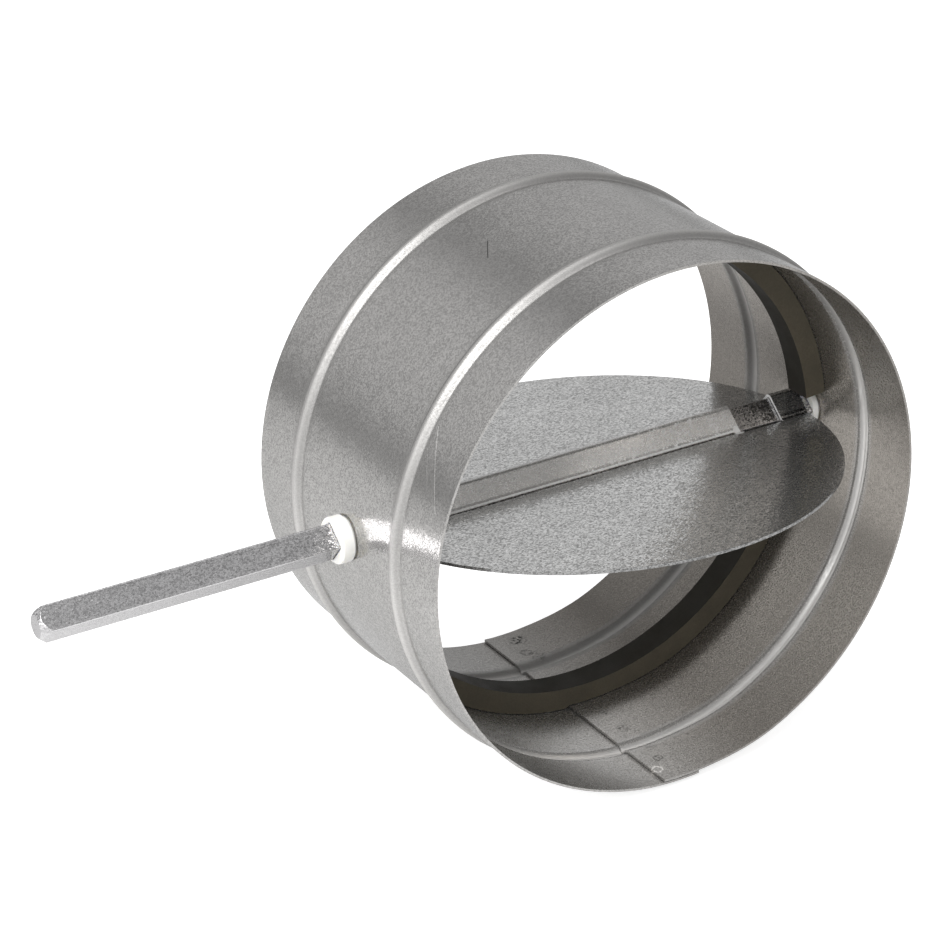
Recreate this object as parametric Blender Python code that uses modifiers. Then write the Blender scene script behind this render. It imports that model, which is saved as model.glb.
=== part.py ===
"""Round duct damper: a disc blade on a square shaft inside a short rolled casing.

Metres, +Z up. The origin is the middle of the duct, where the shaft crosses the
duct's own axis. The duct runs along Y and the shaft along X, free end at -X. The
blade is shown nearly open, its front edge (-Y) a little high.
"""
import math

import bmesh
import bpy
from mathutils import Matrix, Vector

MM = 0.001

# Running and seating gaps between separate pieces
SEAT_GAP = 0.3 * MM
BLADE_ON_SHAFT_GAP = 0.2 * MM

# Casing: one beaded sheet, rolled, lapped at the bottom and spot welded
DUCT_DIAMETER = 159.0 * MM
DUCT_LENGTH = 100.0 * MM
CASING_SHEET = 0.7 * MM
BEAD_FROM_MIDDLE = 28.0 * MM
BEAD_WIDTH = 6.0 * MM
BEAD_HEIGHT = 1.5 * MM
BEAD_STEPS = 6
LAP_WIDTH = 12.0 * MM
LAP_GAP = 0.2 * MM
LAP_RUN_OUT = 26.0 * MM
LAP_EDGE_ANGLE = math.radians(-94.5)
ROLL_STEP = math.radians(4.5)
WELD_COUNT = 5
WELD_PITCH = 19.0 * MM
WELD_RADIUS = 2.2 * MM
WELD_MARK_DEPTH = 0.15 * MM

# Shaft: a square bar with its corners eased and its ends turned to a cone
SHAFT_SIDE = 8.0 * MM
SHAFT_EDGE_RADIUS = 0.5 * MM
SHAFT_BARE_LENGTH = 89.1 * MM
SHAFT_PAST_BUSH = 0.6 * MM
SHAFT_TIP_RADIUS = 3.3 * MM
SHAFT_TIP_TAPER = 2.7 * MM

# Bushes: turned collars that snap into the casing's two holes
BUSH_RADIUS = 6.8 * MM
BUSH_NECK_RADIUS = 6.15 * MM
BUSH_STANDOFF = 4.4 * MM
BUSH_EDGE_BEVEL = 0.7 * MM
BUSH_LIP = 1.4 * MM
BUSH_LIP_LEAD = 0.4 * MM
BUSH_BORE_CORNER = 0.6 * MM

# Blade: one pressed disc, with a long ridge, two windows and two end straps
BLADE_WALL_GAP = 4.3 * MM
BLADE_SHEET = 0.9 * MM
BLADE_TILT = math.radians(4.2)
PRESS_BEND_RADIUS = 1.2 * MM
STRAP_LENGTH = 9.5 * MM
WINDOW_LENGTH = 15.0 * MM
SHEAR_GAP = 0.3 * MM
SLIT_PAST_BEND = 0.3 * MM

# Seals: two half rings of square strip glued to the wall, one each side of the blade
SEAL_WIDTH = 9.0 * MM
SEAL_HEIGHT = 7.0 * MM
SEAL_END_FROM_SHAFT = 7.4 * MM

# Facets round each turned or rounded piece
DISC_STEPS = 96
BUSH_STEPS = 32
HOLE_STEPS = 32
WELD_STEPS = 12
BEND_STEPS = 2

# Sizes that follow from those above
DUCT_RADIUS = DUCT_DIAMETER / 2
WALL_RADIUS = DUCT_RADIUS - CASING_SHEET
ROLL_RADIUS = DUCT_RADIUS - CASING_SHEET / 2
LAP_STEP = CASING_SHEET + LAP_GAP
SHAFT_HOLE_RADIUS = BUSH_NECK_RADIUS + SEAT_GAP
BUSH_OUTER_FACE = DUCT_RADIUS + BUSH_STANDOFF
SHAFT_NEAR_END = BUSH_OUTER_FACE + SHAFT_BARE_LENGTH
SHAFT_FAR_END = BUSH_OUTER_FACE + SHAFT_PAST_BUSH
BLADE_RADIUS = WALL_RADIUS - BLADE_WALL_GAP
STRAP_START = BLADE_RADIUS - STRAP_LENGTH
RIDGE_HALF_LENGTH = STRAP_START - WINDOW_LENGTH
PRESSED_OFFSET = SHAFT_SIDE / 2 + BLADE_ON_SHAFT_GAP + BLADE_SHEET / 2
PRESSED_RISE = PRESSED_OFFSET * math.sqrt(2)
PRESSED_FOOT = PRESSED_RISE + PRESS_BEND_RADIUS * math.tan(math.pi / 8)
SLIT_END = PRESSED_FOOT + SLIT_PAST_BEND
SEAL_FACE = BLADE_SHEET / 2 + SEAT_GAP
SEAL_INNER_RADIUS = WALL_RADIUS - SEAL_HEIGHT
SEAL_END_ANGLE = math.asin(SEAL_END_FROM_SHAFT / SEAL_INNER_RADIUS)


def clear_scene():
    """Start from an empty scene."""
    for old in list(bpy.data.objects):
        bpy.data.objects.remove(old, do_unlink=True)


def make_collection(name):
    """Add a collection to the scene."""
    collection = bpy.data.collections.new(name)
    bpy.context.scene.collection.children.link(collection)
    return collection


def make_material(name, colour, roughness, metallic):
    """One plain surface finish."""
    material = bpy.data.materials.new(name)
    material.use_nodes = True
    shader = material.node_tree.nodes["Principled BSDF"]
    shader.inputs["Base Color"].default_value = (*colour, 1.0)
    shader.inputs["Roughness"].default_value = roughness
    shader.inputs["Metallic"].default_value = metallic
    material.diffuse_color = (*colour, 1.0)
    return material


def add_object(name, data, collection):
    """Link a new object that holds the given mesh or curve."""
    item = bpy.data.objects.new(name, data)
    collection.objects.link(item)
    return item


def mesh_from(form, name):
    """Turn a bmesh into mesh data."""
    mesh = bpy.data.meshes.new(name)
    form.to_mesh(mesh)
    form.free()
    return mesh


def add_tool(name, data, tools):
    """A shape that cuts or joins another one and isn't a piece itself."""
    tool = add_object(name, data, tools)
    tool.hide_render = True
    tool.display_type = "WIRE"
    return tool


def combine(target, tool, operation):
    """Cut, join or trim the target with a tool."""
    modifier = target.modifiers.new(f"{operation.lower()}_{tool.name}", "BOOLEAN")
    modifier.operation = operation
    modifier.solver = "EXACT"
    modifier.object = tool


def thicken(target, thickness):
    """Give an open sheet its thickness, half to each side."""
    modifier = target.modifiers.new("sheet", "SOLIDIFY")
    modifier.thickness = thickness
    modifier.offset = 0.0
    modifier.use_even_offset = True


def turn(target, steps):
    """Turn a profile about the object's own Z axis."""
    modifier = target.modifiers.new("turned", "SCREW")
    modifier.axis = "Z"
    modifier.angle = math.tau
    modifier.steps = steps
    modifier.render_steps = steps
    modifier.use_merge_vertices = True
    modifier.merge_threshold = 0.00001


def shade_round(mesh, sharp_over=math.radians(30)):
    """Shade a round piece smooth, with its real edges kept sharp."""
    mesh.shade_smooth()
    mesh.set_sharp_from_angle(angle=sharp_over)


def box_form(size):
    """A box of the given size, centred on the origin."""
    form = bmesh.new()
    bmesh.ops.create_cube(form, size=1.0)
    bmesh.ops.scale(form, vec=Vector(size), verts=form.verts)
    return form


def cylinder_form(radius, length, steps, place=None):
    """A closed cylinder along Z, centred on the origin and then placed."""
    form = bmesh.new()
    bmesh.ops.create_cone(
        form, cap_ends=True, segments=steps, radius1=radius, radius2=radius, depth=length
    )
    if place is not None:
        bmesh.ops.transform(form, matrix=place, verts=form.verts)
    return form


def bar_form(side, length, corner):
    """A square bar along X with its four long edges rounded."""
    form = box_form((length, side, side))
    long_edges = [edge for edge in form.edges if edge.calc_length() > side * 1.5]
    bmesh.ops.bevel(
        form, geom=long_edges, offset=corner, segments=2, profile=0.5, affect="EDGES"
    )
    return form


def profile_mesh(name, points):
    """A chain of edges through (radius, height) points, for turning."""
    form = bmesh.new()
    corners = [form.verts.new((radius, 0.0, height)) for radius, height in points]
    for upper, lower in zip(corners, corners[1:]):
        form.edges.new((upper, lower))
    return mesh_from(form, name)


def bead_profile(y):
    """Rise and slope of the casing's sheet at a distance y from its middle."""
    for centre in (-BEAD_FROM_MIDDLE, BEAD_FROM_MIDDLE):
        phase = math.tau * (y - centre) / BEAD_WIDTH
        if abs(phase) <= math.pi:
            rise = BEAD_HEIGHT * (1 + math.cos(phase)) / 2
            slope = -BEAD_HEIGHT * math.pi / BEAD_WIDTH * math.sin(phase)
            return rise, slope
    return 0.0, 0.0


def casing_stations():
    """Where the casing's profile has points along the duct."""
    stations = [-DUCT_LENGTH / 2, DUCT_LENGTH / 2]
    for centre in (-BEAD_FROM_MIDDLE, BEAD_FROM_MIDDLE):
        for step in range(BEAD_STEPS + 1):
            stations.append(centre + BEAD_WIDTH * (step / BEAD_STEPS - 0.5))
    return sorted(stations)


def lap_tuck(along):
    """How far the sheet lies inside its full round, a distance along from its inner edge."""
    level = LAP_WIDTH + CASING_SHEET
    share = min(max((along - level) / LAP_RUN_OUT, 0.0), 1.0)
    return LAP_STEP * (1 - share * share * (3 - 2 * share))


def rolled_point(along, y):
    """Carry a point of the flat blank to its place on the rolled casing."""
    rise, slope = bead_profile(y)
    stretch = math.hypot(1.0, slope)
    tuck = lap_tuck(along)
    radius = ROLL_RADIUS + rise - tuck / stretch
    angle = LAP_EDGE_ANGLE + along / ROLL_RADIUS
    place_y = y + tuck * slope / stretch
    return Vector((radius * math.cos(angle), place_y, radius * math.sin(angle)))


def weld_places():
    """Frames of the spot welds: the middle of the lap, +Z pointing out of the duct."""
    angle = LAP_EDGE_ANGLE + LAP_WIDTH / 2 / ROLL_RADIUS
    radius = ROLL_RADIUS - LAP_STEP / 2
    spin = Matrix.Rotation(-angle, 4, "Y") @ Matrix.Rotation(math.pi / 2, 4, "Y")
    for index in range(WELD_COUNT):
        y = (index - (WELD_COUNT - 1) / 2) * WELD_PITCH
        yield Matrix.Translation((0.0, y, 0.0)) @ spin @ Matrix.Translation((0.0, 0.0, radius))


def weld_tool(name, tools, radius, length, offsets):
    """Short cylinders at every spot weld, at each of the given heights across the lap."""
    form = bmesh.new()
    for place in weld_places():
        for offset in offsets:
            made = bmesh.ops.create_cone(
                form, cap_ends=True, segments=WELD_STEPS,
                radius1=radius, radius2=radius, depth=length,
            )
            spot = place @ Matrix.Translation((0.0, 0.0, offset))
            bmesh.ops.transform(form, matrix=spot, verts=made["verts"])
    return add_tool(name, mesh_from(form, name), tools)


def make_casing(pieces, tools, finish):
    """Roll the beaded blank, weld its lap and pierce it for the bushes."""
    stations = casing_stations()
    blank_length = math.tau * ROLL_RADIUS + LAP_WIDTH
    columns = round(blank_length / ROLL_RADIUS / ROLL_STEP)
    rows = len(stations) - 1
    form = bmesh.new()
    bmesh.ops.create_grid(form, x_segments=columns, y_segments=rows, size=0.5)
    for vert in form.verts:
        along = (vert.co.x + 0.5) * blank_length
        y = stations[round((vert.co.y + 0.5) * rows)]
        vert.co = rolled_point(along, y)
    bmesh.ops.reverse_faces(form, faces=form.faces)
    casing = add_object("casing", mesh_from(form, "casing"), pieces)
    thicken(casing, CASING_SHEET)

    nuggets = weld_tool("weld_nuggets", tools, WELD_RADIUS * 0.8, LAP_STEP, (0.0,))
    mark_height = LAP_STEP / 2 + CASING_SHEET / 2
    marks = weld_tool(
        "weld_marks", tools, WELD_RADIUS, WELD_MARK_DEPTH * 2, (-mark_height, mark_height)
    )
    across = Matrix.Rotation(math.pi / 2, 4, "Y")
    piercing = cylinder_form(SHAFT_HOLE_RADIUS, DUCT_DIAMETER * 1.2, HOLE_STEPS, across)
    holes = add_tool("shaft_holes", mesh_from(piercing, "shaft_holes"), tools)
    combine(casing, nuggets, "UNION")
    combine(casing, marks, "DIFFERENCE")
    combine(casing, holes, "DIFFERENCE")
    casing.data.materials.append(finish)
    shade_round(casing.data)
    return casing


def pressed_half():
    """Half of the blade's middle line across the shaft: (y, rise) pairs, crest to flat."""
    points = []
    for step in range(BEND_STEPS + 1):
        swing = math.pi / 4 * step / BEND_STEPS
        rise = PRESSED_RISE - PRESS_BEND_RADIUS * (math.sqrt(2) - math.cos(swing))
        points.append((PRESS_BEND_RADIUS * math.sin(swing), rise))
    for step in range(BEND_STEPS + 1):
        swing = math.pi / 4 * (1 - step / BEND_STEPS)
        rise = PRESS_BEND_RADIUS * (1 - math.cos(swing))
        points.append((PRESSED_FOOT - PRESS_BEND_RADIUS * math.sin(swing), rise))
    return points


def mirrored(row):
    """A row of (distance, value) pairs on both sides of zero, in order."""
    other = [(-distance, value) for distance, value in row if distance > 0]
    return sorted(row + other)


def pressed_sheet():
    """The blade's flat blank, pressed over the shaft (side 1) and under it (-1) in turn."""
    width = BLADE_RADIUS * 1.1
    across = mirrored(pressed_half() + [(SLIT_END, 0.0), (width, 0.0)])
    along = mirrored([
        (RIDGE_HALF_LENGTH, 1),
        (RIDGE_HALF_LENGTH + SHEAR_GAP, -1),
        (STRAP_START - SHEAR_GAP, -1),
        (STRAP_START, 1),
        (width, 1),
    ])
    columns = len(along) - 1
    rows = len(across) - 1
    form = bmesh.new()
    bmesh.ops.create_grid(form, x_segments=columns, y_segments=rows, size=0.5)
    sides = {}
    for vert in form.verts:
        x, side = along[round((vert.co.x + 0.5) * columns)]
        y, rise = across[round((vert.co.y + 0.5) * rows)]
        vert.co = (x, y, side * rise)
        sides[vert] = side
    slits = []
    for face in form.faces:
        sheared = len({sides[vert] for vert in face.verts}) > 1
        if sheared and abs(face.calc_center_median().y) < SLIT_END:
            slits.append(face)
    bmesh.ops.delete(form, geom=slits, context="FACES")
    return mesh_from(form, "blade")


def make_blade(pieces, tools, finish, tilt):
    """One pressed sheet trimmed to its round outline."""
    blade = add_object("blade", pressed_sheet(), pieces)
    thicken(blade, BLADE_SHEET)
    disc = cylinder_form(BLADE_RADIUS, SHAFT_SIDE * 4, DISC_STEPS)
    outline = add_tool("blade_outline", mesh_from(disc, "blade_outline"), tools)
    outline.parent = tilt
    combine(blade, outline, "INTERSECT")
    blade.data.materials.append(finish)
    blade.parent = tilt
    return blade


def make_shaft(pieces, tools, finish, tilt):
    """The square bar, set corner up to the blade, with turned ends."""
    length = SHAFT_NEAR_END + SHAFT_FAR_END
    middle = (SHAFT_FAR_END - SHAFT_NEAR_END) / 2
    bar = bar_form(SHAFT_SIDE, length, SHAFT_EDGE_RADIUS)
    bmesh.ops.rotate(bar, cent=(0, 0, 0), matrix=Matrix.Rotation(math.pi / 4, 3, "X"), verts=bar.verts)
    bmesh.ops.translate(bar, vec=(middle, 0.0, 0.0), verts=bar.verts)
    shaft = add_object("shaft", mesh_from(bar, "shaft"), pieces)

    taper = math.tan(math.atan2(SHAFT_SIDE / math.sqrt(2) - SHAFT_TIP_RADIUS, SHAFT_TIP_TAPER))
    full = SHAFT_TIP_RADIUS + SHAFT_TIP_TAPER * taper
    ease = SHAFT_EDGE_RADIUS
    turned = profile_mesh("shaft_ends", [
        (0.0, SHAFT_NEAR_END),
        (SHAFT_TIP_RADIUS, SHAFT_NEAR_END),
        (full, SHAFT_NEAR_END - SHAFT_TIP_TAPER),
        (full, ease * 2 - SHAFT_FAR_END),
        (full - ease * 2, -SHAFT_FAR_END),
        (0.0, -SHAFT_FAR_END),
    ])
    ends = add_tool("shaft_ends", turned, tools)
    turn(ends, BUSH_STEPS)
    ends.rotation_euler = (0.0, -math.pi / 2, 0.0)
    ends.parent = tilt
    combine(shaft, ends, "INTERSECT")
    shaft.data.materials.append(finish)
    shaft.parent = tilt
    return shaft


def make_bush(name, end, pieces, tools, finish, tilt):
    """A turned collar with a square bore, snapped into the wall on side end (-1 or 1)."""
    shoulder = DUCT_RADIUS + SEAT_GAP
    lip_seat = math.sqrt(WALL_RADIUS ** 2 - BUSH_RADIUS ** 2) - SEAT_GAP
    inner_face = lip_seat - BUSH_LIP
    profile = profile_mesh(name, [
        (0.0, BUSH_OUTER_FACE),
        (BUSH_RADIUS - BUSH_EDGE_BEVEL, BUSH_OUTER_FACE),
        (BUSH_RADIUS, BUSH_OUTER_FACE - BUSH_EDGE_BEVEL),
        (BUSH_RADIUS, shoulder),
        (BUSH_NECK_RADIUS, shoulder),
        (BUSH_NECK_RADIUS, lip_seat),
        (BUSH_RADIUS, lip_seat),
        (BUSH_RADIUS - BUSH_LIP_LEAD, inner_face),
        (0.0, inner_face),
    ])
    bush = add_object(name, profile, pieces)
    turn(bush, BUSH_STEPS)
    bush.rotation_euler = (0.0, end * math.pi / 2, 0.0)

    bore_side = SHAFT_SIDE + BLADE_ON_SHAFT_GAP * 2
    bore = bar_form(bore_side, DUCT_DIAMETER * 1.2, BUSH_BORE_CORNER)
    bmesh.ops.rotate(bore, cent=(0, 0, 0), matrix=Matrix.Rotation(math.pi / 4, 3, "X"), verts=bore.verts)
    square = add_tool(f"{name}_bore", mesh_from(bore, f"{name}_bore"), tools)
    square.parent = tilt
    combine(bush, square, "DIFFERENCE")
    bush.data.materials.append(finish)
    bush.parent = tilt
    return bush


def seal_outline(half):
    """Outline of a half ring seen along the duct: half is 1 for the upper, -1 for the lower."""
    first = SEAL_END_ANGLE if half > 0 else SEAL_END_ANGLE - math.pi
    span = math.pi - SEAL_END_ANGLE * 2
    steps = round(span / ROLL_STEP)
    angles = [first + span * step / steps for step in range(steps + 1)]
    outer_angles = list(angles)
    edge = LAP_EDGE_ANGLE
    if half < 0:
        outer_angles += [edge - SEAT_GAP / ROLL_RADIUS * 1.5, edge - SEAT_GAP / ROLL_RADIUS]
        outer_angles.sort()
    points = []
    for angle in outer_angles:
        along = (angle - edge) * ROLL_RADIUS
        tuck = lap_tuck(along) if along > -SEAT_GAP * 1.25 else 0.0
        points.append((WALL_RADIUS - tuck - SEAT_GAP, angle))
    points.extend((SEAL_INNER_RADIUS, angle) for angle in reversed(angles))
    return [(radius * math.cos(angle), radius * math.sin(angle)) for radius, angle in points]


def make_seal(name, half, pieces, finish):
    """A half ring of strip, its flat face just clear of the closed blade."""
    curve = bpy.data.curves.new(name, "CURVE")
    curve.dimensions = "2D"
    curve.fill_mode = "BOTH"
    curve.extrude = SEAL_WIDTH / 2
    outline = seal_outline(half)
    spline = curve.splines.new("POLY")
    spline.points.add(len(outline) - 1)
    for point, (x, z) in zip(spline.points, outline):
        point.co = (x, z, 0.0, 1.0)
    spline.use_cyclic_u = True
    seal = add_object(name, curve, pieces)
    seal.rotation_euler = (math.pi / 2, 0.0, 0.0)
    seal.location = (0.0, -half * (SEAL_FACE + SEAL_WIDTH / 2), 0.0)
    curve.materials.append(finish)
    return seal


def build():
    """Make every piece of the damper."""
    clear_scene()
    pieces = make_collection("round_duct_damper")
    tools = make_collection("tools")
    galvanised = make_material("galvanised_casing", (0.52, 0.51, 0.49), 0.42, 1.0)
    blade_zinc = make_material("galvanised_blade", (0.60, 0.60, 0.60), 0.38, 1.0)
    plated = make_material("plated_shaft", (0.55, 0.55, 0.54), 0.45, 1.0)
    nylon = make_material("nylon_bush", (0.86, 0.86, 0.82), 0.45, 0.0)
    foam_rubber = make_material("seal_strip", (0.06, 0.06, 0.05), 0.85, 0.0)

    tilt = add_object("blade_axis", None, pieces)
    tilt.rotation_euler = (-BLADE_TILT, 0.0, 0.0)
    make_casing(pieces, tools, galvanised)
    make_blade(pieces, tools, blade_zinc, tilt)
    make_shaft(pieces, tools, plated, tilt)
    make_bush("near_bush", -1, pieces, tools, nylon, tilt)
    make_bush("far_bush", 1, pieces, tools, nylon, tilt)
    make_seal("upper_seal", 1, pieces, foam_rubber)
    make_seal("lower_seal", -1, pieces, foam_rubber)
    bpy.context.view_layer.update()


build()
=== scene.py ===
"""Finished pieces, materials and studio for the round duct damper, laid out as an add-on."""

import math

import bmesh
import bpy
from bpy.props import FloatProperty, FloatVectorProperty, PointerProperty
from mathutils import Matrix, Vector


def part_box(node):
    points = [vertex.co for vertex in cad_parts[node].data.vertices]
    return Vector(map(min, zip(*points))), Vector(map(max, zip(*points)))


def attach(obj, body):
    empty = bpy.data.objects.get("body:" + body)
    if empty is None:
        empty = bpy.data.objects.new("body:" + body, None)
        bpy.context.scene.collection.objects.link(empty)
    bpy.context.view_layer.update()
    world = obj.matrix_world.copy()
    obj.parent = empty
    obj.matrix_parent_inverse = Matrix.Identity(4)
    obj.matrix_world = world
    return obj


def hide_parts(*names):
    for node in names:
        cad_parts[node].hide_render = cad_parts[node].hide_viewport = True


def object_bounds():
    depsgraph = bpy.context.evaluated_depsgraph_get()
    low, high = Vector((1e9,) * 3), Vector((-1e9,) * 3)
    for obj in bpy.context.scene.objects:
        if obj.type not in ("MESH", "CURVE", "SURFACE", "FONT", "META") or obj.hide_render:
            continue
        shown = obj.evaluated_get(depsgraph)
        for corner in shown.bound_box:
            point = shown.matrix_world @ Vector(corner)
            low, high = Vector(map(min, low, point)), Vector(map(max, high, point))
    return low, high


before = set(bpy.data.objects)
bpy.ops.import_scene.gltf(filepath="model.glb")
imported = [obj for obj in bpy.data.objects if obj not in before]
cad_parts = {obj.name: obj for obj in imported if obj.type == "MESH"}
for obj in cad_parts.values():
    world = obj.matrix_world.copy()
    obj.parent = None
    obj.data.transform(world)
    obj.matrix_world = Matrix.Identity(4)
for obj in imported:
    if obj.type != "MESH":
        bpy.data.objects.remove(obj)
cad_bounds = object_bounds()

bl_info = {
    "name": "Round Duct Damper",
    "version": (1, 0, 0),
    "blender": (4, 5, 0),
    "location": "3D View > Sidebar > Damper",
    "description": "Finished pieces, materials and studio for a round duct damper",
    "category": "Object",
}

MM = 0.001
CASING_BODY = "casing"
BLADE_BODY = "blade"
SHAFT_LOW, SHAFT_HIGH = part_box("shaft")
CASING_LOW, CASING_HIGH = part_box("casing")
# How finely the pieces are cut.
BLANK_COLUMNS = 620
BLANK_ROWS = (6, 14, 5)
BEND_STEPS = 6
OUTLINE_STEPS = 256
TURN_STEPS = 96
HOLE_STEPS = 64
STRIP_STEPS = 150
MERGE_WITHIN = 0.01 * MM
# How their shading is evened out.
SHARP_OVER = math.radians(40)
EVEN_WEIGHT = 80


# Settings


def length(name, description, millimetres):
    """A length in metres that shows in the scene's own unit."""
    return FloatProperty(
        name=name, description=description, default=millimetres * MM,
        unit="LENGTH", precision=5,
    )


def turn(name, description, degrees):
    """An angle that shows in degrees."""
    return FloatProperty(
        name=name, description=description, default=math.radians(degrees), subtype="ANGLE",
    )


def share(name, description, value):
    """A plain number from 0 to 1."""
    return FloatProperty(
        name=name, description=description, default=value, min=0.0, max=1.0, subtype="FACTOR",
    )


def tint(name, description, value):
    """A colour, in linear light."""
    return FloatVectorProperty(
        name=name, description=description, default=value, size=3,
        min=0.0, max=1.0, subtype="COLOR",
    )


class DAMPER_PG_casing(bpy.types.PropertyGroup):
    """Sizes and finish of the rolled casing."""

    diameter: length("Diameter", "Outside of the plain collars", 159.0)
    run: length("Length", "From rim to rim along the duct", (CASING_HIGH.y - CASING_LOW.y) / MM)
    sheet: length("Sheet", "Thickness of the casing's sheet", 0.7)
    bead_place: length("Bead place", "From the casing's middle to each bead", 28.0)
    bead_width: length("Bead width", "Width of a bead", 6.0)
    bead_height: length("Bead height", "How far a bead stands out", 1.5)
    lap_width: length("Lap width", "How far the sheet laps over itself", 12.0)
    lap_gap: length("Lap gap", "Air between the lap's two layers", 0.2)
    lap_angle: turn("Lap angle", "Where the inner layer's edge lies", -94.5)
    run_out: length("Run-out", "Length in which the inner layer comes out to the round", 26.0)
    dent: length("Dents", "Depth of the sheet's soft waves", 0.12)
    hole: length("Shaft hole", "Radius of the two holes for the bushes", 6.45)
    colour: tint("Zinc", "Colour of the casing's zinc", (0.56, 0.55, 0.538))
    # Painted shade: the inner colour is darker and warmer, standing in for the shade and the
    # duct's reflections of itself.
    inner: tint("Inner zinc", "Colour of the casing's duller inner side", (0.455, 0.422, 0.385))
    roughness: share("Roughness", "Roughness of the casing's zinc", 0.15)


class DAMPER_PG_blade(bpy.types.PropertyGroup):
    """Sizes and finish of the pressed blade."""

    radius: length("Radius", "Radius of the blade's disc", 74.5)
    sheet: length("Sheet", "Thickness of the blade's sheet", 0.9)
    tilt: turn("Tilt", "How far the blade's front edge is raised at rest", 4.2)
    rise: length("Press height", "Height of the pressed corner before it is rounded", 6.576)
    bend: length("Bend radius", "Radius of the pressed bends at the sheet's middle", 1.2)
    ridge: length("Ridge", "Half the length of the middle ridge", 50.0)
    strap: length("Strap start", "From the middle to where each end strap begins", 65.0)
    slit: length("Shear gap", "Width of the shears between ridge, window and strap", 0.3)
    colour: tint("Zinc", "Colour of the blade's zinc", (0.95, 0.95, 0.945))
    roughness: share("Roughness", "Roughness of the blade's zinc", 0.12)


class DAMPER_PG_shaft(bpy.types.PropertyGroup):
    """Sizes and finish of the square shaft."""

    side: length("Side", "Across the square bar's flats", 8.0)
    edge: length("Edge radius", "Rounding of the bar's long edges", 0.5)
    near_end: length("Near end", "From the duct's axis to the free end", -SHAFT_LOW.x / MM)
    far_end: length("Far end", "From the duct's axis to the other end", SHAFT_HIGH.x / MM)
    tip: length("Tip radius", "Radius of the turned end's flat", 3.3)
    taper: length("Tip taper", "Length of the turned end's cone", 2.7)
    colour: tint("Plating", "Colour of the bar's plating", (0.90, 0.89, 0.90))
    roughness: share("Roughness", "Roughness of the bar's plating", 0.13)


class DAMPER_PG_bush(bpy.types.PropertyGroup):
    """Sizes and finish of the two bushes."""

    radius: length("Radius", "Radius of the bush's shoulder and lip", 6.8)
    neck: length("Neck radius", "Radius where the bush passes through the wall", 6.15)
    standoff: length("Standoff", "How far the shoulder stands out of the duct", 4.4)
    bevel: length("Edge bevel", "Bevel round the shoulder's outer edge", 0.7)
    lip: length("Lip", "Thickness of the lip inside the duct", 1.4)
    lead: length("Lip lead", "How far the lip's inner edge draws in", 0.4)
    gap: length("Gap", "Air between the bush and the wall", 0.3)
    bore: length("Bore", "Across the flats of the square bore", 8.4)
    corner: length("Bore corner", "Rounding of the square bore's corners", 0.6)
    colour: tint("Nylon", "Colour of the moulded nylon", (0.92, 0.91, 0.875))


class DAMPER_PG_seal(bpy.types.PropertyGroup):
    """Sizes and finish of the two half-ring seals."""

    width: length("Width", "Width of the strip along the duct", 9.0)
    height: length("Height", "Height of the strip above the wall", 7.0)
    end: length("End height", "From the shaft's axis to the strip's cut end", 7.4)
    gap: length("Gap", "Air between the strip and the wall", 0.3)
    colour: tint("Rubber", "Colour of the foamed rubber", (0.118, 0.103, 0.074))


class DAMPER_PG_stage(bpy.types.PropertyGroup):
    """Camera, floor and lights."""

    camera_place: FloatVectorProperty(
        name="Camera place", description="Where the camera stands",
        default=(-0.45055, -0.70901, 0.40556), size=3, subtype="TRANSLATION",
    )
    camera_turn: FloatVectorProperty(
        name="Camera turn", description="How the camera is turned",
        default=(math.radians(64.1345), math.radians(1.4607), math.radians(-30.9591)),
        size=3, subtype="EULER",
    )
    lens: FloatProperty(
        name="Lens", description="Focal length on a 36 mm sensor", default=122.223,
        subtype="DISTANCE_CAMERA",
    )
    sky: share("Room light", "Strength of the plain light all round", 0.43)
    floor: tint("Floor", "Colour of the studio floor", (0.82, 0.82, 0.82))
    glow: share("Floor glow", "How far the light table lifts the floor's own shadows", 0.6)


# Node helpers


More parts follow.
